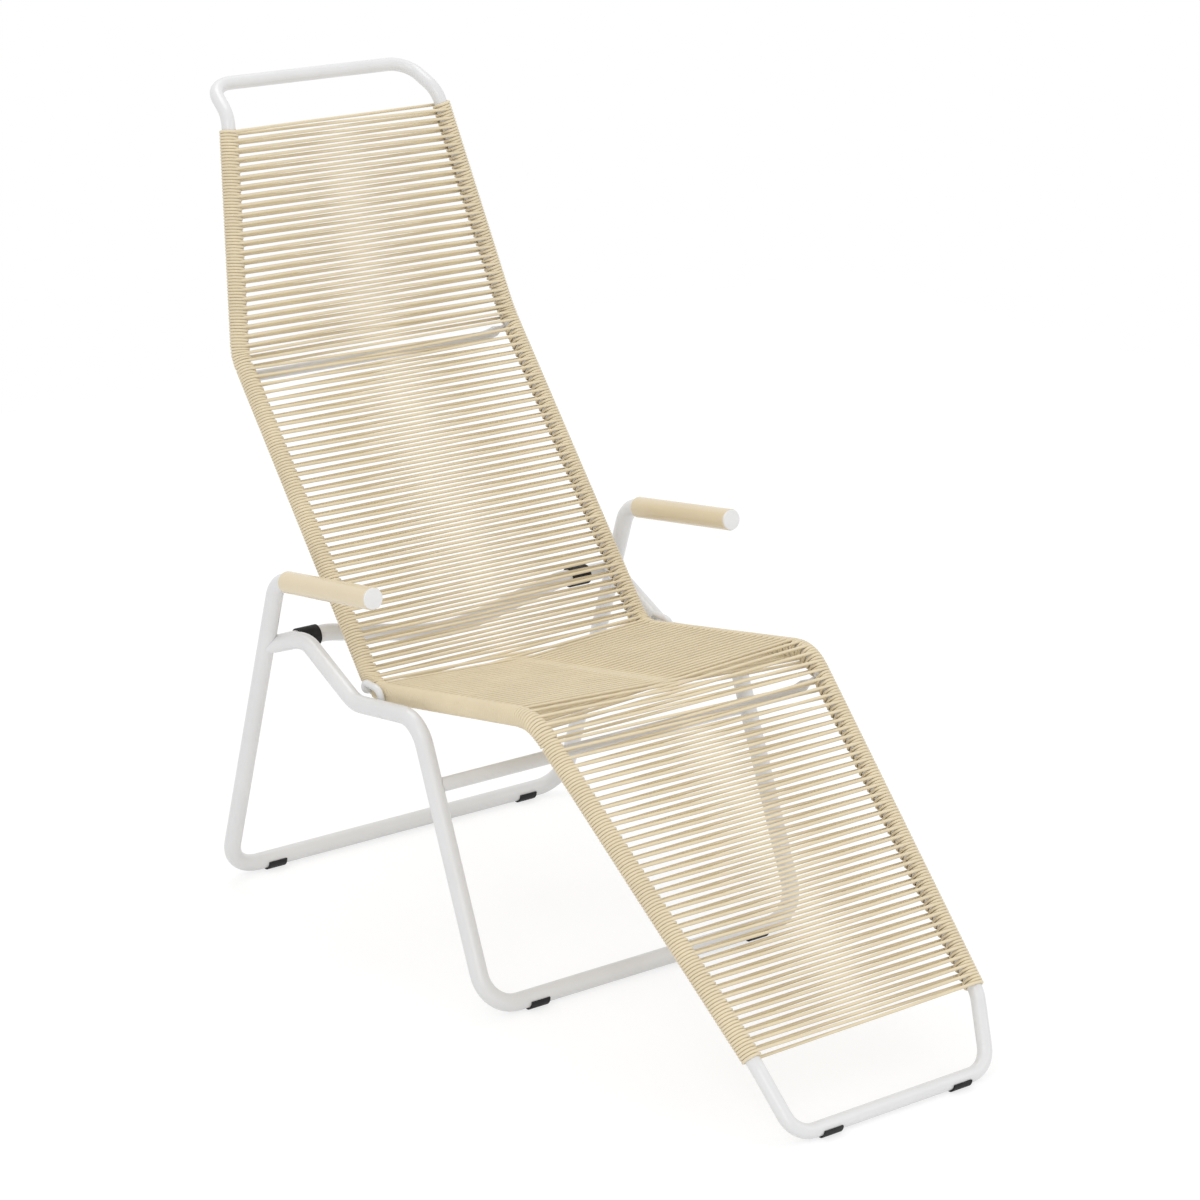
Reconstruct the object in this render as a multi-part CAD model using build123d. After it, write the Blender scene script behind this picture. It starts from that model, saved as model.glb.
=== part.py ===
from build123d import *
import math
import os

# Tilting string lounger: a bent tube base and a strung tube bed that tips on it.
# Millimetres. X runs across the seat, -Y is the foot end, +Z is up, the floor is Z = 0.
# Lengths along Y are measured from the rail's corner behind the seat, and the whole
# part is then moved so that its origin lies under the middle of its box.
# Left and right are the sitter's: left is +X.

# Tubes and rods
BASE_TUBE = 25.0           # outside diameter of the base tube
BED_TUBE = 20.0            # outside diameter of the bed tube
TUBE_WALL = 1.5            # wall of every tube, open only where a cap plugs the arm
BRACE_TUBE = 20.0          # straight bar between the front legs
BED_BRACE = 16.0           # bars that hold the two bed rails apart
HOOK_ROD = 10.0            # solid rod of the hinge hooks

# Clearances
WELD_GAP = 0.25            # left between a coped tube end and the tube it is welded to
SEAT_GAP = 0.2             # between a push-on rubber or plastic piece and its tube
CORD_GAP = 0.3             # between the wound cord and its rail
PIN_GAP = 0.06             # radial running fit of the hinge pin
BUSH_GAP = 0.1             # between a bush and its hole in the rail
HOOK_GAP = 0.3             # between a hook and the base tube beside it
HOOK_ROOM = 3.4            # between a bush and the bend of the hook, which clears the cord
STOP_GAP = 0.4             # left between the wound rail and its stop when tipped back

# Bed rail, seen from the side: (y, z) of its corners
BED_HALF = 233.0           # half width between the rail axes
SEAT_REAR_Z = 370.0
SEAT_FRONT_Y = -382.7
SEAT_FRONT_Z = 445.6
KINK_Y = 347.8
KINK_Z = 780.9
HEAD_Y = 445.3             # where the cord starts, below the head bend
HEAD_Z = 1088.5
HEAD_INSET = 49.5          # how much nearer the middle the rail is there
HEAD_BEND_RISE = 19.0      # from the cord's start to the corner that leans the top back
HEAD_LEAN = 27.0           # rise of the leaning top, degrees
HEAD_TOP_RUN = 75.0        # from that corner to the head bar
FOOT_Y = -790.7            # where the cord ends, above the foot bend
FOOT_Z = 102.5
FOOT_INSET = 46.3
FOOT_BEND_RUN = 10.0       # from the cord's end to the corner that drops to the foot bar
FOOT_BAR_Y = -849.5
FOOT_BAR_INSET = 24.7      # from there to the corner of the foot bar, along X
HEAD_CORNER_R = 38.0
HEAD_LEAN_R = 45.0
KINK_R = 50.0
SEAT_REAR_R = 40.0
SEAT_FRONT_R = 60.0
FOOT_BEND_R = 60.0
FOOT_CORNER_R = 38.0

# Rear leg frame: arm, rear leg and rear floor bar in one bent tube
REAR_SPREAD = 36.0         # how far outside the front legs the rear legs stand
REAR_BAR_Y = 302.0
ARM_CORNER_Y = 137.0
ARM_CORNER_Z = 511.6
ARM_RISE = 9.2             # upward slope of the arm towards its front end, degrees
ARM_REACH = 255.0          # from the corner to the face of the end cap
ARM_R = 45.0
REAR_FLOOR_R = 50.0

# Front leg frame: brace to the rear leg, hinge run, front leg and front floor bar
FRONT_BAR_Y = -325.5
WELD_Z = 404.0             # height on the rear leg of the weld with the brace and stop bar
BRACE_CORNER_Y = 126.0
BRACE_CORNER_Z = 421.0
RUN_REAR_Y = -6.4
RUN_REAR_Z = 362.7
RUN_FRONT_Y = -164.7
RUN_FRONT_Z = 388.4
BRACE_R = 40.0
RUN_REAR_R = 60.0
RUN_FRONT_R = 50.0
FRONT_FLOOR_R = 50.0

# Bars and stops of the base
STOP_INSET = 28.0          # from a bed rail in to the start of the stop bar's bow
STOP_BOW = 42.0            # depth of the bow at its corner
STOP_BOW_R = 300.0
STOP_END_R = 80.0
SLEEVE_OUT = 6.0           # from a bed rail out to the middle of its stop sleeve
SLEEVE_LENGTH = 33.0
SLEEVE_WALL = 2.5
LEG_BAR_Z = 301.0          # height of the straight bar between the front legs

# Arm grips
GRIP_OD = 31.5
GRIP_START = 28.0          # from the arm corner to the rear end of the grip
GRIP_EDGE = 1.5
CAP_OD = 29.5
CAP_THICK = 2.5
CAP_PLUG = 12.0
CAP_EDGE = 0.8
CAP_SOCKET = 14.0          # depth of the open tube end that takes the plug

# Floor pads: half shells under the floor bars
PAD_WALL = 2.8
PAD_LENGTH = 30.0
PAD_FLAT = 0.3             # depth cut flat where a pad stands on the floor
REAR_PAD_INSET = 78.0      # from the rear leg in to its pad
FRONT_PAD_INSET = 79.0
BED_PAD_INSET = 53.0       # from the foot bar's corner in to its pad

# Hinge
HOOK_SPAN = 43.0           # from the pin to the hook's welded leg, along Y
HOOK_TOP = 13.0            # crown of the hook's axis above the pin
HOOK_FOOT = 12.0           # how far the welded leg runs below the pin
HOOK_FRONT_R = 17.0
HOOK_REAR_R = 6.5
HOOK_PIN_R = 6.3
BUSH_OD = 12.0
BUSH_PROUD = 0.5           # how far a bush stands out of the rail, on its outer side alone
PIN_SHORT = 1.0            # the pin ends this far inside the bush

# Bars across the bed, bowed away from the sitter
BACK_BAR_DROP = 20.0       # from the kink down the back
LEG_BAR_DROP = 40.0        # from the seat's front corner down the leg rest
BAR_BOW = 36.0
BAR_RAMP = 28.0            # length along X of each bent end
BAR_R = 25.0
BAR_STUD = 6.0             # the bar's drawn-down end, which passes between two turns of cord
STUD_TO = 17.0             # from the rail's axis along the bar to the end of the stud
CONE_TO = 29.0             # and to the end of the cone that widens to the full tube

# Cord
CORD_COAT = 3.5            # thickness of the wound cord on the rails
CORD_SIDES = 12            # flats round the wound rail
CORD_TURN = 4.45           # advance of one turn, by which a strand steps back as it crosses
CORD_PITCH = 3 * CORD_TURN  # three turns on each rail to one figure of eight
STRAND_WIDE = 4.4
STRAND_THICK = 3.4
STRAND_ANGLE = 41.6        # where a strand leaves its rail, from the panel's plane
CORD_END = 3.0             # from the end of a wound length to its first strand
BAR_ROOM = 0.6             # between the wound cord and a bar's stud or a bush

# Values that follow
BASE_R = BASE_TUBE / 2
BED_R = BED_TUBE / 2
ROD_R = HOOK_ROD / 2
BASE_AXIS_Z = BASE_R + PAD_WALL - PAD_FLAT
BED_AXIS_Z = BED_R + PAD_WALL - PAD_FLAT
CORD_BORE = BED_R + CORD_GAP
CORD_R = CORD_BORE + CORD_COAT
HEAD_HALF = BED_HALF - HEAD_INSET
FOOT_HALF = BED_HALF - FOOT_INSET
FOOT_BAR_HALF = FOOT_HALF - FOOT_BAR_INSET
BUSH_FROM = BED_HALF - math.sqrt(BED_R ** 2 - (BUSH_OD / 2) ** 2)
BUSH_TO = BED_HALF + BED_R + BUSH_PROUD
HOOK_X = BUSH_TO + HOOK_ROOM + HOOK_PIN_R
FRONT_HALF = HOOK_X + ROD_R + HOOK_GAP + BASE_R
REAR_HALF = FRONT_HALF + REAR_SPREAD
STOP_STRAIGHT = BED_HALF - STOP_INSET
SLEEVE_X = BED_HALF + SLEEVE_OUT
REAR_PAD_X = REAR_HALF - REAR_PAD_INSET
FRONT_PAD_X = FRONT_HALF - FRONT_PAD_INSET
BED_PAD_X = FOOT_BAR_HALF - BED_PAD_INSET


def flat(y, z):
    return Vector(0, y, z)


def unit(a, b):
    return (b - a).normalized()


# Corners of the bed rail on the middle plane
SEAT_REAR = flat(0, SEAT_REAR_Z)
SEAT_FRONT = flat(SEAT_FRONT_Y, SEAT_FRONT_Z)
KINK = flat(KINK_Y, KINK_Z)
HEAD = flat(HEAD_Y, HEAD_Z)
FOOT = flat(FOOT_Y, FOOT_Z)
FOOT_BAR = flat(FOOT_BAR_Y, BED_AXIS_Z)
HEAD_LEAN_AT = HEAD + unit(KINK, HEAD) * HEAD_BEND_RISE
LEAN = math.radians(HEAD_LEAN)
HEAD_BAR = HEAD_LEAN_AT + flat(math.cos(LEAN), math.sin(LEAN)) * HEAD_TOP_RUN
HEAD_TAPER = (BED_HALF - HEAD_HALF) / (HEAD - KINK).length
LEAN_HALF = HEAD_HALF - HEAD_TAPER * HEAD_BEND_RISE
HEAD_BAR_HALF = LEAN_HALF - HEAD_TAPER * HEAD_TOP_RUN
FOOT_DROP_AT = FOOT + unit(SEAT_FRONT, FOOT) * FOOT_BEND_RUN
FOOT_TAPER = (BED_HALF - FOOT_HALF) / (FOOT - SEAT_FRONT).length
FOOT_DROP_HALF = FOOT_HALF - FOOT_TAPER * FOOT_BEND_RUN

# The part's origin lies under the middle of its box
BOX_REAR = HEAD_BAR.Y + BED_R
BOX_FRONT = FOOT_BAR_Y - BED_R - PAD_WALL
SHIFT_Y = -(BOX_REAR + BOX_FRONT) / 2

# The hinge axis meets the rail's axis in the middle of the bend behind the seat
BACK_WAY = unit(SEAT_REAR, KINK)
SEAT_WAY = unit(SEAT_REAR, SEAT_FRONT)
SEAT_TURN = math.pi - math.radians(BACK_WAY.get_angle(SEAT_WAY))
BEND_IN = (BACK_WAY + SEAT_WAY).normalized()
PIVOT = SEAT_REAR + BEND_IN * (SEAT_REAR_R * (1 / math.cos(SEAT_TURN / 2) - 1))

# The arm and the rear leg
ARM_CORNER = flat(ARM_CORNER_Y, ARM_CORNER_Z)
REAR_BAR = flat(REAR_BAR_Y, BASE_AXIS_Z)
RISE = math.radians(ARM_RISE)
ARM_WAY = flat(-math.cos(RISE), math.sin(RISE))
WELD_SHARE = (ARM_CORNER_Z - WELD_Z) / (ARM_CORNER_Z - BASE_AXIS_Z)
WELD = ARM_CORNER + (REAR_BAR - ARM_CORNER) * WELD_SHARE


def at(x, point):
    return Vector(x, point.Y, point.Z)


def swept(path, radius):
    return sweep(Plane(origin=path @ 0, z_dir=path % 0) * Circle(radius), path)


def both(half):
    return half + mirror(half, about=Plane.YZ)


def biggest(shape):
    return shape.solids().sort_by(SortBy.VOLUME)[-1]


def save(shape, node):
    export_step(Pos(0, SHIFT_Y, 0) * shape, f"parts/{node}.step")


def pair(shape, node):
    save(shape, f"{node}_left")
    save(mirror(shape, about=Plane.YZ), f"{node}_right")


def cylinder_x(radius, x0, x1, point):
    plane = Plane(origin=at(x0, point), z_dir=(1, 0, 0))
    return plane * Cylinder(radius, x1 - x0, align=(Align.CENTER, Align.CENTER, Align.MIN))


# Base
def rear_path(reach):
    return FilletPolyline(
        at(REAR_HALF, ARM_CORNER + ARM_WAY * reach),
        at(REAR_HALF, ARM_CORNER),
        at(REAR_HALF, REAR_BAR),
        REAR_BAR,
        radius=[ARM_R, REAR_FLOOR_R],
    )


def front_path():
    return FilletPolyline(
        at(REAR_HALF, WELD),
        Vector(FRONT_HALF, BRACE_CORNER_Y, BRACE_CORNER_Z),
        Vector(FRONT_HALF, RUN_REAR_Y, RUN_REAR_Z),
        Vector(FRONT_HALF, RUN_FRONT_Y, RUN_FRONT_Z),
        Vector(FRONT_HALF, FRONT_BAR_Y, BASE_AXIS_Z),
        flat(FRONT_BAR_Y, BASE_AXIS_Z),
        radius=[BRACE_R, RUN_REAR_R, RUN_FRONT_R, FRONT_FLOOR_R],
    )


def stop_path():
    low = WELD - flat(0, STOP_BOW)
    return FilletPolyline(
        at(REAR_HALF, WELD),
        at(STOP_STRAIGHT, WELD),
        low,
        at(-STOP_STRAIGHT, WELD),
        at(-REAR_HALF, WELD),
        radius=[STOP_END_R, STOP_BOW_R, STOP_END_R],
    )


BORE = BASE_R - TUBE_WALL
TUBE_END = ARM_REACH - CAP_THICK
rear_half = swept(rear_path(TUBE_END), BASE_R)
rear_room = swept(rear_path(TUBE_END), BASE_R + WELD_GAP)
front_half = biggest(swept(front_path(), BASE_R) - rear_room)
front_room = swept(front_path(), BASE_R + WELD_GAP)

stop_bar = swept(stop_path(), BASE_R)
for room in (rear_room, front_room):
    stop_bar = stop_bar - room - mirror(room, about=Plane.YZ)

leg_line = RUN_FRONT_Y + (FRONT_BAR_Y - RUN_FRONT_Y) * (
    (RUN_FRONT_Z - LEG_BAR_Z) / (RUN_FRONT_Z - BASE_AXIS_Z)
)
brace_at = flat(leg_line, LEG_BAR_Z)
leg_bar = cylinder_x(BRACE_TUBE / 2, -FRONT_HALF, FRONT_HALF, brace_at)
leg_bar = leg_bar - front_room - mirror(front_room, about=Plane.YZ)

sleeve_from = SLEEVE_X - SLEEVE_LENGTH / 2
sleeve_to = SLEEVE_X + SLEEVE_LENGTH / 2
stop_sleeve = cylinder_x(BASE_R + SLEEVE_WALL, sleeve_from, sleeve_to, WELD)
stop_sleeve -= cylinder_x(BASE_R + SEAT_GAP, sleeve_from, sleeve_to, WELD)


# Grip and cap are turned about the arm's axis
def on_arm(distance):
    return Plane(origin=at(REAR_HALF, ARM_CORNER + ARM_WAY * distance), z_dir=ARM_WAY)


GRIP_LENGTH = TUBE_END - GRIP_START
UP = (Align.CENTER, Align.CENTER, Align.MIN)
DOWN = (Align.CENTER, Align.CENTER, Align.MAX)
grip = Cylinder(GRIP_OD / 2, GRIP_LENGTH, align=UP)
grip = chamfer(grip.edges().group_by(Axis.Z)[0], GRIP_EDGE)
grip = chamfer(grip.edges().group_by(Axis.Z)[-1], CAP_EDGE)
grip -= Cylinder(BASE_R + SEAT_GAP, GRIP_LENGTH, align=UP)
grip = on_arm(GRIP_START) * grip

cap = Cylinder(CAP_OD / 2, CAP_THICK, align=UP)
cap = chamfer(cap.edges().group_by(Axis.Z)[-1], CAP_EDGE)
cap += Cylinder(BORE - SEAT_GAP, CAP_PLUG, align=DOWN)
cap = on_arm(TUBE_END) * cap
rear_half -= on_arm(TUBE_END) * Cylinder(BORE, CAP_SOCKET, align=DOWN)


def floor_pad(tube_r, x, axis):
    x0 = x - PAD_LENGTH / 2
    x1 = x + PAD_LENGTH / 2
    outer = tube_r + PAD_WALL
    shell = cylinder_x(outer, x0, x1, axis) - cylinder_x(tube_r + SEAT_GAP, x0, x1, axis)
    lower = Pos(x, axis.Y, axis.Z) * Box(
        PAD_LENGTH, 2 * outer, outer - PAD_FLAT, align=(Align.CENTER, Align.CENTER, Align.MAX)
    )
    return shell & lower


rear_pad = floor_pad(BASE_R, REAR_PAD_X, REAR_BAR)
front_pad = floor_pad(BASE_R, FRONT_PAD_X, flat(FRONT_BAR_Y, BASE_AXIS_Z))
bed_pad = floor_pad(BED_R, BED_PAD_X, FOOT_BAR)

# Hinge hook: welded beside the hinge run, over the rail's bend and in through the bush
hook_leg = PIVOT - flat(HOOK_SPAN, 0)
hook_path = FilletPolyline(
    at(HOOK_X, hook_leg - flat(0, HOOK_FOOT)),
    at(HOOK_X, hook_leg + flat(0, HOOK_TOP)),
    at(HOOK_X, PIVOT + flat(0, HOOK_TOP)),
    at(HOOK_X, PIVOT),
    at(BUSH_FROM + PIN_SHORT, PIVOT),
    radius=[HOOK_FRONT_R, HOOK_REAR_R, HOOK_PIN_R],
)
hook = swept(hook_path, ROD_R)
bush = cylinder_x(BUSH_OD / 2, BUSH_FROM, BUSH_TO, PIVOT)
bush -= cylinder_x(ROD_R + PIN_GAP, BUSH_FROM, BUSH_TO, PIVOT)


# Bed
def bed_path():
    return FilletPolyline(
        HEAD_BAR,
        at(HEAD_BAR_HALF, HEAD_BAR),
        at(LEAN_HALF, HEAD_LEAN_AT),
        at(BED_HALF, KINK),
        at(BED_HALF, SEAT_REAR),
        at(BED_HALF, SEAT_FRONT),
        at(FOOT_DROP_HALF, FOOT_DROP_AT),
        at(FOOT_BAR_HALF, FOOT_BAR),
        FOOT_BAR,
        radius=[
            HEAD_CORNER_R, HEAD_LEAN_R, KINK_R, SEAT_REAR_R, SEAT_FRONT_R, FOOT_BEND_R, FOOT_CORNER_R,
        ],
    )


bed_half = swept(bed_path(), BED_R)
bed_half -= cylinder_x(BUSH_OD / 2 + BUSH_GAP, BUSH_FROM, BUSH_TO, PIVOT)
bed_room = swept(bed_path(), BED_R + WELD_GAP)


def bed_bar(half, point, away):
    low = point + away * BAR_BOW
    joint = at(half, point)
    ramp = unit(joint, at(half - BAR_RAMP, low))
    path = FilletPolyline(
        joint + ramp * CONE_TO,
        at(half - BAR_RAMP, low),
        low,
        radius=BAR_R,
    )
    bar = swept(path, BED_BRACE / 2)
    cone = Cone(BAR_STUD / 2, BED_BRACE / 2, CONE_TO - STUD_TO, align=UP)
    bar += Plane(origin=joint + ramp * STUD_TO, z_dir=ramp) * cone
    bar += Plane(origin=joint, z_dir=ramp) * Cylinder(BAR_STUD / 2, STUD_TO, align=UP)
    return both(biggest(bar - bed_room))


X_WAY = Vector(1, 0, 0)
LEG_WAY = unit(SEAT_FRONT, FOOT)
BACK_BAR_AT = KINK - BACK_WAY * BACK_BAR_DROP
LEG_BAR_AT = SEAT_FRONT + LEG_WAY * LEG_BAR_DROP
LEG_SHARE = LEG_BAR_DROP / (FOOT - SEAT_FRONT).length
LEG_BAR_HALF = BED_HALF + (FOOT_HALF - BED_HALF) * LEG_SHARE
back_bar = bed_bar(BED_HALF, BACK_BAR_AT, BACK_WAY.cross(X_WAY))
legrest_bar = bed_bar(LEG_BAR_HALF, LEG_BAR_AT, X_WAY.cross(LEG_WAY))

# Cord panels: the wound rails and the strands that cross between them, laid out along
# the left rail from the cord's start at the head to its end at the foot
WOUND = FilletPolyline(
    at(HEAD_HALF, HEAD),
    at(BED_HALF, KINK),
    at(BED_HALF, SEAT_REAR),
    at(BED_HALF, SEAT_FRONT),
    at(FOOT_HALF, FOOT),
    radius=[KINK_R, SEAT_REAR_R, SEAT_FRONT_R],
)


def station(half, point):
    return WOUND.param_at_point(at(half, point)) * WOUND.length


BACK_BAR_STATION = station(BED_HALF, BACK_BAR_AT)
PIVOT_STATION = station(BED_HALF, PIVOT)
LEG_BAR_STATION = station(LEG_BAR_HALF, LEG_BAR_AT)
BAR_KEEP = BAR_STUD / 2 + BAR_ROOM
BUSH_KEEP = BUSH_OD / 2 + BAR_ROOM


def flats(radius):
    return RegularPolygon(radius, CORD_SIDES, rotation=180 / CORD_SIDES)


def wound_rail(first, last):
    path = WOUND.trim(first / WOUND.length, last / WOUND.length)
    way = path % 0
    plane = Plane(origin=path @ 0, x_dir=X_WAY - way * way.X, z_dir=way)
    bore = CORD_BORE / math.cos(math.pi / CORD_SIDES)
    return sweep(plane * (flats(CORD_R) - flats(bore)), path)


def strand_end(distance, side, lift):
    # a point in the wound cord of one rail, in front of the rail's axis or behind it
    share = distance / WOUND.length
    way = WOUND % share
    front = way.cross(X_WAY).normalized()
    middle = CORD_BORE + CORD_COAT / 2
    turn = math.radians(STRAND_ANGLE)
    point = WOUND @ share - X_WAY * (middle * math.cos(turn)) + front * (lift * middle * math.sin(turn))
    return Vector(side * point.X, point.Y, point.Z)


def strand(front_at, back_at, side):
    a = strand_end(front_at, side, 1)
    b = strand_end(back_at, -side, -1)
    way = WOUND % ((front_at + back_at) / 2 / WOUND.length)
    plane = Plane(origin=(a + b) * 0.5, x_dir=b - a, z_dir=(b - a).cross(flat(way.Y, way.Z)))
    return plane * Box((b - a).length, STRAND_WIDE, STRAND_THICK)


def cord_panel(first, last):
    sleeve = wound_rail(first, last)
    start = first + CORD_END
    bars = []
    for i in range(int((last - CORD_END - start - CORD_TURN) / CORD_PITCH)):
        right = start + CORD_TURN + i * CORD_PITCH
        left = right + CORD_PITCH / 2
        bars.append(strand(right, right - CORD_TURN, -1))
        bars.append(strand(left, left - CORD_TURN, 1))
    return sleeve.fuse(mirror(sleeve, about=Plane.YZ), *bars)


head_cords = cord_panel(0, BACK_BAR_STATION - BAR_KEEP)
back_cords = cord_panel(BACK_BAR_STATION + BAR_KEEP, PIVOT_STATION - BUSH_KEEP)
seat_cords = cord_panel(PIVOT_STATION + BUSH_KEEP, LEG_BAR_STATION - BAR_KEEP)
leg_cords = cord_panel(LEG_BAR_STATION + BAR_KEEP, WOUND.length)

# The tip angle at which the wound back rails come to the stop sleeves
stop_from_pivot = WELD - PIVOT
reach = CORD_R + BASE_R + SLEEVE_WALL + STOP_GAP
rail_off = (SEAT_REAR - PIVOT).cross(BACK_WAY).length
back_angle = math.atan2(BACK_WAY.Z, BACK_WAY.Y)
stop_angle = math.atan2(stop_from_pivot.Z, stop_from_pivot.Y)
TIP_MAX = back_angle - stop_angle - math.asin((reach + rail_off) / stop_from_pivot.length)

os.makedirs("parts", exist_ok=True)
save(both(rear_half), "rear_leg_frame")
save(both(front_half), "front_leg_frame")
save(biggest(stop_bar), "stop_bar")
save(biggest(leg_bar), "leg_cross_bar")
pair(stop_sleeve, "stop_sleeve")
pair(grip, "arm_grip")
pair(cap, "grip_cap")
save(Compound(children=[hook, mirror(hook, about=Plane.YZ)]), "hinge_hooks")
pair(rear_pad, "rear_foot")
pair(front_pad, "front_foot")
save(both(bed_half), "bed_frame")
save(back_bar, "back_cross_bar")
save(legrest_bar, "legrest_cross_bar")
pair(bush, "pivot_bush")
pair(bed_pad, "bed_foot")
save(head_cords, "head_cords")
save(back_cords, "back_cords")
save(seat_cords, "seat_cords")
save(leg_cords, "leg_cords")

print("hinge axis y, z:", round(PIVOT.Y + SHIFT_Y, 3), round(PIVOT.Z, 3))
print("tips back by", round(math.degrees(TIP_MAX), 2), "degrees")
print("shift along y:", round(SHIFT_Y, 3))
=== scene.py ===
import math
import random
from collections import namedtuple

import bpy
from mathutils import Matrix, Vector


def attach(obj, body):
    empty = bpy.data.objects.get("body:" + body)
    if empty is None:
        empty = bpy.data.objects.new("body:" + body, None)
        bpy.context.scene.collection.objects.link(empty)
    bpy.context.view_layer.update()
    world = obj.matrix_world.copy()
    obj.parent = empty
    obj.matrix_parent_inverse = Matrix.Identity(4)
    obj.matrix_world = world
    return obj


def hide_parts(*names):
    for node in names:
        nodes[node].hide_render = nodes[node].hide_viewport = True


# Strung, tilting tube lounger. The tubes, grips, pads and hinge are the CAD nodes with finishes.
# The cord is built here: wound round both rails and crossing between them in a figure of eight.
# Rail and cord are in millimetres, which MM turns into metres; finishes, lights and camera are in metres.
# X runs across, to the sitter's left. -Y is the foot end and +Z is up.
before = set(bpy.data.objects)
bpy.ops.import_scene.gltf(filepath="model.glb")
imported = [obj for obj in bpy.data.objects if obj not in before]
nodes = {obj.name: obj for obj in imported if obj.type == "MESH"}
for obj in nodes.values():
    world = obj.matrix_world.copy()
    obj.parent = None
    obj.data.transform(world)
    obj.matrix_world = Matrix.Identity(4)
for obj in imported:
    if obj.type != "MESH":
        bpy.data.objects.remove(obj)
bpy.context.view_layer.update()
rng = random.Random(7)
MM = 0.001
FULL = 2 * math.pi          # a whole turn

# Rail: corners of the left one as in the part's source, with the part's shift along Y
SHIFT_Y = 167.217
RAIL_R = 10.0
HEAD = Vector((183.5, 445.3, 1088.5))
KINK = Vector((233.0, 347.8, 780.9))
SEAT_REAR = Vector((233.0, 0.0, 370.0))
SEAT_FRONT = Vector((233.0, -382.7, 445.6))
FOOT = Vector((186.7, -790.7, 102.5))
KINK_R, SEAT_REAR_R, SEAT_FRONT_R = 50.0, 40.0, 60.0
BACK_BAR_DROP = 20.0        # from the corner above a bar to the bar
LEG_BAR_DROP = 40.0
BAR_ANGLE = math.radians(232)       # where a bar's stud comes to its rail, from the outer side
BUSH_ANGLE = 0.0
INNER_ANGLE = math.pi

# Cord, round between the rails and a little flattened on them
CORD_R = 2.32
CORD_FLAT = 4.52            # product of its half sizes on a rail
CORD_NARROW, CORD_BROAD = 1.75, 2.45    # its half width where a bend crowds or parts the turns
CORD_FACES = 8
WIND_R = 12.05              # from the rail's middle to the cord's
TURN = 4.47                 # advance of one turn
TURN_ROOM = 0.06            # between turns
TURN_STEPS = 14             # points to a turn
TURNS = 2.5                 # of a stay on a rail, between two strands
STAY_RUN = TURNS * TURN
STAY_STEP = 1.5 * TURN      # from one stay to the next, on the other rail
FIRST_STRAND = 2.8          # where the first strand from the right rail's front crosses the middle
WOUND_FROM = 0.5            # where the cord begins, below the wound rail's upper end
WOUND_PAST = 0.9            # where it ends, past the lower end
END_SINK = 5.0              # there it goes into its rail by this much
END_RUN = 0.4 * TURN        # over this length
STRAND_DRIFT = 0.3          # how far a strand strays along the rails between them
STRAND_POINTS = ((0.03, 0.0), (0.35, STRAND_DRIFT), (0.65, STRAND_DRIFT), (0.97, 0.0))  # share, drift
INNER_SPREAD = 0.6          # how far the two turns part on a rail's inner side, where there are only two

# How the turns give way to the bars' studs and to the bushes
STUD_KEEP = 6.3             # clear distance of the cord's middle from a stud's and a bush's
BUSH_KEEP = 8.2
STUD_CROWD = 4.1            # spacing of the turns that these push aside
BUSH_CROWD = 3.7
STUD_SPREAD = math.radians(160)     # the angle to each side over which a turn moves
BUSH_SPREAD = math.radians(95)
EARLY, LATE = 0.7, 0.1      # angles before and after a stay at which its strands count as turns
LAPS = range(-1, 3)         # all laps that a stay can reach


class Run:
    """Straight runs joined by arcs through a list of corners, as a tube is bent."""

    def __init__(self, corners, radii):
        self.parts = []
        self.ends = []
        here = corners[0].copy()
        station = 0.0
        for before, corner, after, radius in zip(corners, corners[1:], corners[2:], radii):
            way_in = (corner - before).normalized()
            way_out = (after - corner).normalized()
            turn = way_in.angle(way_out)
            setback = radius * math.tan(turn / 2)
            start = corner - way_in * setback
            inward = (way_out - way_in * math.cos(turn)).normalized()
            station = self.add(station, (start - here).length, here, way_in, None, 0.0)
            station = self.add(station, radius * turn, start, way_in, inward, radius)
            self.ends.append((station, setback))
            here = corner + way_out * setback
        way = (corners[-1] - here).normalized()
        self.length = self.add(station, (corners[-1] - here).length, here, way, None, 0.0)

    def add(self, station, length, start, way, inward, radius):
        self.parts.append((station, length, start, way, inward, radius))
        return station + length

    def after_corner(self, index, distance):
        station, setback = self.ends[index]
        return station + distance - setback

    def middle_of_corner(self, index):
        station, length = self.parts[2 * index + 1][:2]
        return station + length / 2

    def at(self, station):
        """Point, direction and bend (towards its centre, one over its radius) along the path. Before the
        start and past the end it goes straight on."""
        for part in self.parts:
            if station <= part[0] + part[1]:
                break
        first, length, start, way, inward, radius = part
        run = station - first
        if inward is None:
            return start + way * run, way, Vector()
        ca, sa = math.cos(run / radius), math.sin(run / radius)
        point = start + way * (radius * sa) + inward * (radius * (1 - ca))
        return point, way * ca + inward * sa, (inward * ca - way * sa) / radius


RAIL = Run([HEAD, KINK, SEAT_REAR, SEAT_FRONT, FOOT], [KINK_R, SEAT_REAR_R, SEAT_FRONT_R])
LEG_LEAN = (FOOT - SEAT_FRONT).length / math.hypot(FOOT.y - SEAT_FRONT.y, FOOT.z - SEAT_FRONT.z)
BACK_BAR_AT = RAIL.after_corner(0, BACK_BAR_DROP)
PIVOT_AT = RAIL.middle_of_corner(1)
LEG_BAR_AT = RAIL.after_corner(2, LEG_BAR_DROP * LEG_LEAN)
Obstacle = namedtuple("Obstacle", "station angle keep crowd spread")
OBSTACLES = (
    Obstacle(BACK_BAR_AT, BAR_ANGLE, STUD_KEEP, STUD_CROWD, STUD_SPREAD),
    Obstacle(PIVOT_AT, BUSH_ANGLE, BUSH_KEEP, BUSH_CROWD, BUSH_SPREAD),
    Obstacle(LEG_BAR_AT, BAR_ANGLE, STUD_KEEP, STUD_CROWD, STUD_SPREAD),
)
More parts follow.
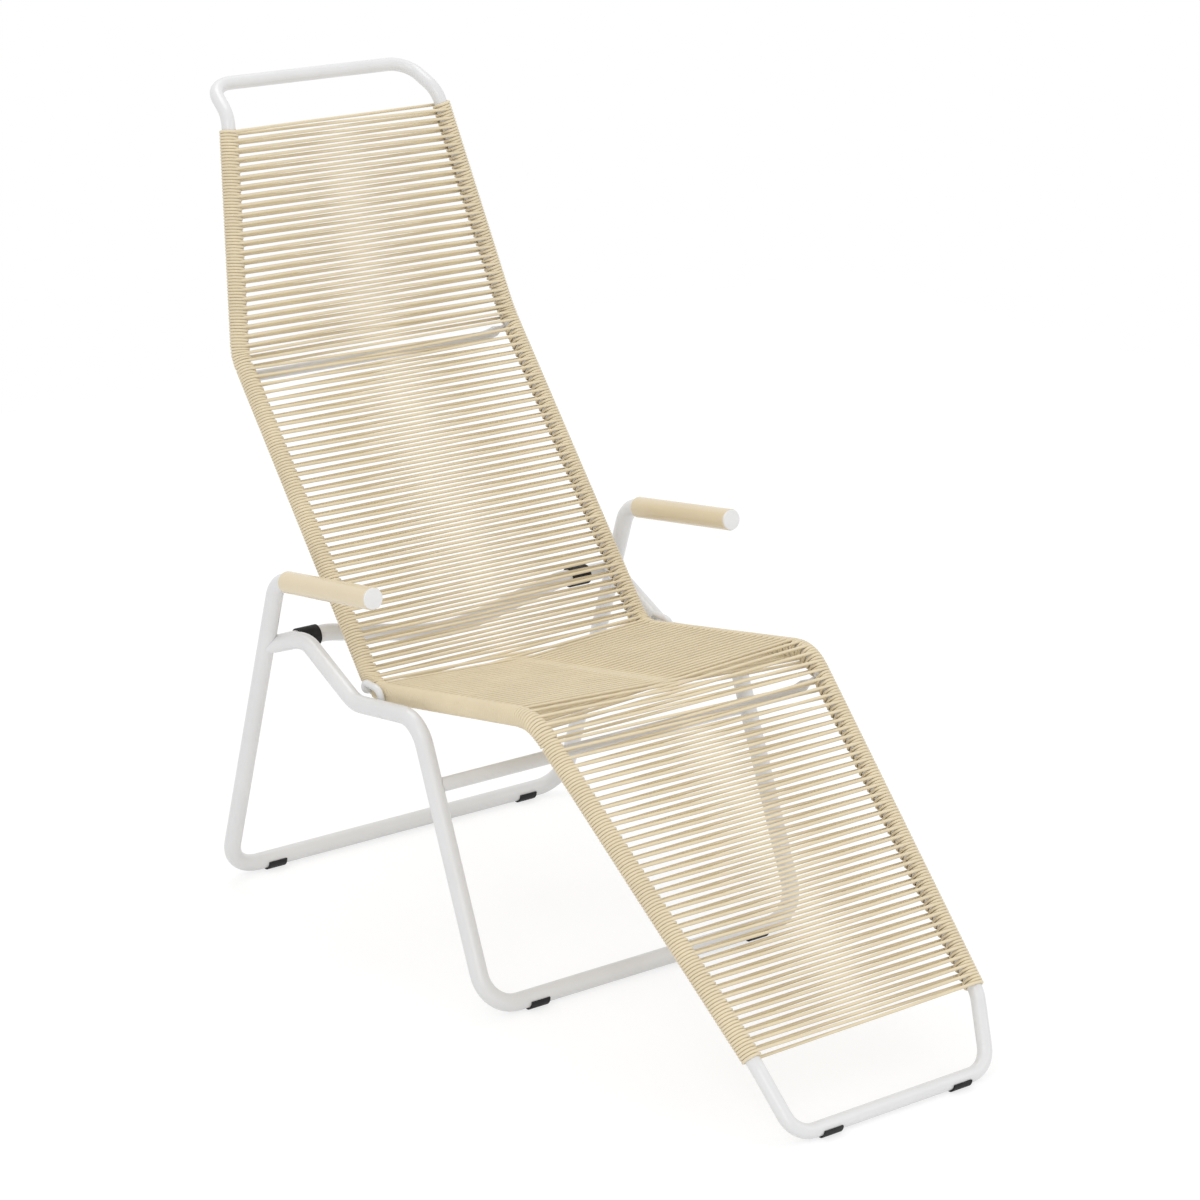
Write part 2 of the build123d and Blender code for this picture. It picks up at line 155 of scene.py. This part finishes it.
LEAN = math.asin(WIND_R / SEAT_REAR.x)
ENTER = -math.pi / 2 - LEAN         # a cord comes to the back of a rail at this angle
SWEEP = FULL * TURNS + 2 * LEAN


def on_rail(station, side, angle, sink):
    """Middle of a turn, its outward direction and its half sizes. Angle 0 is the rail's outer side, a
    quarter turn the sitter's. A bend crowds the turns on its inside, where the cord stands taller."""
    point, way, bend = RAIL.at(station)
    out = (Vector((1, 0, 0)) - way * way.x).normalized()
    aim = out * math.cos(angle) + way.cross(out) * math.sin(angle)
    spacing = TURN * (1 - aim.dot(bend) * WIND_R)
    wide = min(max((spacing - TURN_ROOM) / 2, CORD_NARROW), CORD_BROAD)
    high = CORD_FLAT / wide
    spot = point + aim * (RAIL_R + high - sink)
    return Vector((side * spot.x, spot.y, spot.z)), Vector((side * aim.x, aim.y, aim.z)), (wide, high)


def enters(stay):
    """Station at which a stay on a rail begins. Even stays are on the right rail."""
    return FIRST_STRAND - 2 * TURN + STAY_STEP * stay


def turn_at(stay, angle):
    """Station of a stay's turn at that angle."""
    return enters(stay) + STAY_RUN * (angle - ENTER) / SWEEP


def nearest_lap(angle, centre):
    """The lap on which an angle comes nearest to another one, and how far it is from it there."""
    lap = round((angle - centre) / FULL)
    return lap, abs(angle - centre - FULL * lap)


def pushes(stays, obstacle):
    """How far each turn of these stays moves along the rail to leave an obstacle room."""
    found = []
    for stay in stays:
        for lap in LAPS:
            angle = obstacle.angle + FULL * lap
            if ENTER - EARLY < angle < ENTER + SWEEP + LATE:
                found.append((turn_at(stay, max(angle, ENTER)) - obstacle.station, stay, lap))
    moves = {}
    for way in (1, -1):
        limit = obstacle.keep
        for off, stay, lap in sorted(found, key=lambda turn: way * turn[0]):
            if way * off >= 0:
                moves[stay, lap] = way * max(limit - way * off, 0.0)
                limit = max(limit, way * off) + obstacle.crowd
    return moves


def winding():
    """The cord's points, outward directions and half sizes for each stay on a rail. The cord comes to the
    back of a rail, makes its turns, leaves from the front, and comes to the back of the other rail one
    turn further back. The first stay and the last one are cut short."""
    low = WOUND_FROM
    high = RAIL.length + WOUND_PAST
    last = 0
    while enters(last) + STAY_RUN <= high:
        last += 1
    moves = []
    for obstacle in OBSTACLES:
        right = pushes(range(0, last + 1, 2), obstacle)
        left = pushes(range(1, last + 1, 2), obstacle)
        moves.append({**right, **left})
    steps = round(TURNS * TURN_STEPS)
    result = []
    for stay in range(last + 1):
        side = -1 if stay % 2 == 0 else 1
        turns = []
        for i in range(steps + 1):
            angle = ENTER + SWEEP * i / steps
            station = turn_at(stay, angle)
            if not low <= station <= high:
                continue
            sink = 0.0
            if stay == 0:
                sink = max(1 - (station - low) / END_RUN, 0.0)
            if stay == last:
                sink = max(1 - (high - station) / END_RUN, 0.0)
            lap, off = nearest_lap(angle, INNER_ANGLE)
            push = INNER_SPREAD * (2 * lap - 1) * max(math.cos(off), 0.0) ** 2
            for obstacle, move in zip(OBSTACLES, moves):
                lap, off = nearest_lap(angle, obstacle.angle)
                if off < obstacle.spread:
                    push += move.get((stay, lap), 0.0) * math.cos(off / obstacle.spread * math.pi / 2) ** 2
            turns.append(on_rail(station + push, side, angle, END_SINK * sink))
        result.append((turns, enters(stay)))
    return result


def whole_cord(stays, ends):
    """All points, outward directions and half sizes of the cord, and the points at which a panel begins.
    Outward turns over at each strand, so that the cord crosses without a twist."""
    cord = []
    cuts = [0]
    flip = 1
    for i, (turns, station) in enumerate(stays):
        if len(cuts) <= len(ends) and station > ends[len(cuts) - 1]:
            cuts.append(len(cord))
        cord += [(point, out * flip, sizes) for point, out, sizes in turns]
        if i + 1 == len(stays):
            break
        here = cord[-1][0]
        there, out = stays[i + 1][0][0][:2]
        way = RAIL.at(station)[1]
        flip = -flip
        for share, most in STRAND_POINTS:
            drift = rng.uniform(-most, most)
            point = here.lerp(there, share) + Vector((0, way.y, way.z)) * drift
            cord.append((point, out * flip, (CORD_R, CORD_R)))
    return cord, cuts + [len(cord) - 1]


def cord_rings(cord):
    """The corners of the cord's section at each of its points."""
    rings = []
    for i, (point, out, (wide, high)) in enumerate(cord):
        way = (cord[min(i + 1, len(cord) - 1)][0] - cord[max(i - 1, 0)][0]).normalized()
        across = way.cross(out).normalized()
        up = across.cross(way)
        ring = []
        for j in range(CORD_FACES):
            angle = FULL * j / CORD_FACES
            spot = point + across * (wide * math.cos(angle)) + up * (high * math.sin(angle))
            ring.append((spot.x * MM, (spot.y + SHIFT_Y) * MM, spot.z * MM))
        rings.append(ring)
    return rings


def add_object(name, data):
    thing = bpy.data.objects.new(name, data)
    bpy.context.scene.collection.objects.link(thing)
    return thing


def cord_mesh(name, rings):
    """A length of cord, closed at both ends."""
    faces = []
    for i in range(len(rings) - 1):
        for j in range(CORD_FACES):
            a = i * CORD_FACES + j
            b = i * CORD_FACES + (j + 1) % CORD_FACES
            faces.append((a, a + CORD_FACES, b + CORD_FACES, b))
    faces.append(tuple(range(CORD_FACES)))
    faces.append(tuple((len(rings) - 1) * CORD_FACES + j for j in reversed(range(CORD_FACES))))
    mesh = bpy.data.meshes.new(name)
    mesh.from_pydata([spot for ring in rings for spot in ring], [], faces)
    mesh.polygons.foreach_set("use_smooth", [True] * len(mesh.polygons))
    mesh.validate()
    return add_object(name, mesh)


# Procedural finishes
NOISE_LOW, NOISE_HIGH = 0.3, 0.7    # the part of a noise's range that is used


class Finish:
    """A Principled material whose textures read object coordinates, in metres."""

    def __init__(self, name):
        self.material = bpy.data.materials.new(name)
        self.material.use_nodes = True
        self.nodes = self.material.node_tree.nodes
        self.links = self.material.node_tree.links
        self.shader = self.nodes["Principled BSDF"]
        self.place = self.nodes.new("ShaderNodeTexCoord").outputs["Object"]

    def noise(self, scale, detail=2.0):
        node = self.nodes.new("ShaderNodeTexNoise")
        node.inputs["Scale"].default_value = scale
        node.inputs["Detail"].default_value = detail
        self.links.new(self.place, node.inputs["Vector"])
        return node.outputs["Fac"]

    def colour(self, value, dark, light):
        node = self.nodes.new("ShaderNodeValToRGB")
        for end, place, shade in zip(node.color_ramp.elements, (NOISE_LOW, NOISE_HIGH), (dark, light)):
            end.position = place
            end.color = (*shade, 1.0)
        self.links.new(value, node.inputs["Fac"])
        self.links.new(node.outputs["Color"], self.shader.inputs["Base Color"])

    def rough(self, value, low, high):
        node = self.nodes.new("ShaderNodeMapRange")
        node.inputs["From Min"].default_value = NOISE_LOW
        node.inputs["From Max"].default_value = NOISE_HIGH
        node.inputs["To Min"].default_value = low
        node.inputs["To Max"].default_value = high
        self.links.new(value, node.inputs["Value"])
        self.links.new(node.outputs["Result"], self.shader.inputs["Roughness"])

    def bump(self, value, depth):
        node = self.nodes.new("ShaderNodeBump")
        node.inputs["Strength"].default_value = 1.0
        node.inputs["Distance"].default_value = depth
        self.links.new(value, node.inputs["Height"])
        self.links.new(node.outputs["Normal"], self.shader.inputs["Normal"])

    def set(self, **sockets):
        for name, value in sockets.items():
            self.shader.inputs[name.replace("_", " ")].default_value = value


paint = Finish("frame_paint")
paint.colour(paint.noise(14.0, 3.0), (0.68, 0.68, 0.682), (0.71, 0.71, 0.712))
paint.rough(paint.noise(40.0), 0.28, 0.34)
paint.bump(paint.noise(420.0), 0.000012)
paint.set(Coat_Weight=0.25, Coat_Roughness=0.12)

cord_plastic = Finish("cord")
cord_plastic.colour(cord_plastic.noise(22.0, 4.0), (0.685, 0.59, 0.415), (0.735, 0.635, 0.45))
cord_plastic.rough(cord_plastic.noise(150.0, 3.0), 0.38, 0.52)
cord_plastic.bump(cord_plastic.noise(600.0), 0.00002)
cord_plastic.set(Specular_IOR_Level=0.4)

grip = Finish("grip_plastic")
grip.colour(grip.noise(18.0, 4.0), (0.69, 0.59, 0.415), (0.71, 0.61, 0.43))
grip.rough(grip.noise(60.0), 0.2, 0.24)
grip.bump(grip.noise(380.0), 0.000012)

cap = Finish("cap_plastic")
cap.colour(cap.noise(40.0), (0.73, 0.73, 0.73), (0.76, 0.76, 0.76))
cap.rough(cap.noise(120.0), 0.3, 0.42)
cap.bump(cap.noise(420.0), 0.00001)

rubber = Finish("black_rubber")
rubber.colour(rubber.noise(60.0, 4.0), (0.012, 0.012, 0.013), (0.022, 0.022, 0.023))
rubber.rough(rubber.noise(150.0, 3.0), 0.48, 0.66)
rubber.bump(rubber.noise(500.0, 3.0), 0.00003)
rubber.set(Specular_IOR_Level=0.2)

bush = Finish("bush_plastic")
bush.colour(bush.noise(60.0), (0.70, 0.70, 0.68), (0.76, 0.76, 0.74))
bush.rough(bush.noise(150.0), 0.34, 0.46)
bush.bump(bush.noise(420.0), 0.00001)

# Finishes by the start of a node's name; everything else is painted tube
NODE_FINISHES = (
    ("stop_sleeve", rubber), ("rear_foot", rubber), ("front_foot", rubber), ("bed_foot", rubber),
    ("arm_grip", grip), ("grip_cap", cap), ("pivot_bush", bush),
)


def finish_of(node):
    for start, finish in NODE_FINISHES:
        if node.startswith(start):
            return finish
    return paint


for node, body in nodes.items():
    body.data.materials.clear()
    body.data.materials.append(finish_of(node).material)

# The winding, one piece to each panel
PANELS = ("head", "back", "seat", "leg")
cord_points, cuts = whole_cord(winding(), (BACK_BAR_AT, PIVOT_AT, LEG_BAR_AT))
rings = cord_rings(cord_points)
for panel, start, end in zip(PANELS, cuts, cuts[1:]):
    piece = cord_mesh(panel + "_winding", rings[start:end + 1])
    piece.data.materials.append(cord_plastic.material)
    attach(piece, "bed")
    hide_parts(panel + "_cords")

# Stage: a pale floor that goes to white for the camera and keeps the shadow
FLOOR_HALF = 3.0
FLOOR_PALE = (0.9, 0.9, 0.9, 1.0)
FLOOR_WHITE = 1.1           # strength of the white that the camera sees
FLOOR_SHARE = 0.65          # its share there; the rest is the lit floor with its shadow
WORLD_LIGHT = 0.86


def seen_rays(tree):
    """1 for rays that show the background: camera, glossy and transmission."""
    rays = tree.nodes.new("ShaderNodeLightPath")
    value = rays.outputs["Is Camera Ray"]
    for name in ("Is Glossy Ray", "Is Transmission Ray"):
        most = tree.nodes.new("ShaderNodeMath")
        most.operation = "MAXIMUM"
        tree.links.new(value, most.inputs[0])
        tree.links.new(rays.outputs[name], most.inputs[1])
        value = most.outputs[0]
    return value


def floor_material():
    pale = bpy.data.materials.new("pale_floor")
    pale.use_nodes = True
    tree = pale.node_tree
    tree.nodes.remove(tree.nodes["Principled BSDF"])
    matt = tree.nodes.new("ShaderNodeBsdfDiffuse")
    matt.inputs["Color"].default_value = FLOOR_PALE
    glow = tree.nodes.new("ShaderNodeEmission")
    glow.inputs["Strength"].default_value = FLOOR_WHITE
    share = tree.nodes.new("ShaderNodeMath")
    share.operation = "MULTIPLY"
    share.inputs[1].default_value = FLOOR_SHARE
    both = tree.nodes.new("ShaderNodeMixShader")
    tree.links.new(seen_rays(tree), share.inputs[0])
    tree.links.new(share.outputs[0], both.inputs["Fac"])
    tree.links.new(matt.outputs[0], both.inputs[1])
    tree.links.new(glow.outputs[0], both.inputs[2])
    tree.links.new(both.outputs[0], tree.nodes["Material Output"].inputs["Surface"])
    return pale


floor_mesh = bpy.data.meshes.new("floor")
floor_corners = [(x * FLOOR_HALF, y * FLOOR_HALF, 0) for x, y in ((-1, -1), (1, -1), (1, 1), (-1, 1))]
floor_mesh.from_pydata(floor_corners, [], [(0, 1, 2, 3)])
floor_mesh.materials.append(floor_material())
floor = add_object("floor", floor_mesh)

world = bpy.data.worlds.new("studio")
bpy.context.scene.world = world
world.use_nodes = True
sky = world.node_tree.nodes["Background"]
sky.inputs["Color"].default_value = (1.0, 1.0, 1.0, 1.0)
level = world.node_tree.nodes.new("ShaderNodeMapRange")
level.inputs["To Min"].default_value = WORLD_LIGHT
level.inputs["To Max"].default_value = 1.0
world.node_tree.links.new(seen_rays(world.node_tree), level.inputs["Value"])
world.node_tree.links.new(level.outputs["Result"], sky.inputs["Strength"])

LIGHTS_AIM = Vector((0.0, 0.0, 0.5))


def soft_light(name, place, size, power):
    lamp = bpy.data.lights.new(name, "AREA")
    lamp.shape = "DISK"
    lamp.size = size
    lamp.energy = power
    light = add_object(name, lamp)
    light.location = place
    light.rotation_euler = (LIGHTS_AIM - Vector(place)).to_track_quat("-Z", "Y").to_euler()


soft_light("key", (-3.2, -2.2, 4.2), 2.6, 36.0)
soft_light("low", (-1.6, -3.4, 0.9), 1.6, 15.0)
soft_light("fill", (3.6, -3.0, 2.6), 3.0, 16.0)
soft_light("top", (0.4, 1.6, 4.4), 2.4, 32.0)

# Camera, fitted to the photograph
CAMERA_AT = (-2.6576, -3.6560, 2.0241)
CAMERA_AZIMUTH = math.radians(-36.343)
CAMERA_ELEVATION = math.radians(18.577)
CAMERA_ROLL = math.radians(0.185)
CAMERA_SENSOR, CAMERA_LENS = 36.0, 103.1    # millimetres
CAMERA_FAR = 200.0


def camera_turn():
    """The camera's right, up and back directions as a rotation."""
    ca, sa = math.cos(CAMERA_AZIMUTH), math.sin(CAMERA_AZIMUTH)
    ce, se = math.cos(CAMERA_ELEVATION), math.sin(CAMERA_ELEVATION)
    cr, sr = math.cos(CAMERA_ROLL), math.sin(CAMERA_ROLL)
    right = Vector((ca, sa, 0.0))
    back = Vector((sa * ce, -ca * ce, se))
    up = back.cross(right)
    right, up = right * cr + up * sr, up * cr - right * sr
    return Matrix((right, up, back)).transposed().to_4x4()


eye = bpy.data.cameras.new("camera")
eye.sensor_width = CAMERA_SENSOR
eye.lens = CAMERA_LENS
eye.clip_end = CAMERA_FAR
camera = add_object("camera", eye)
camera.matrix_world = Matrix.Translation(CAMERA_AT) @ camera_turn()
bpy.context.scene.camera = camera
bpy.context.scene.view_settings.view_transform = "Standard"
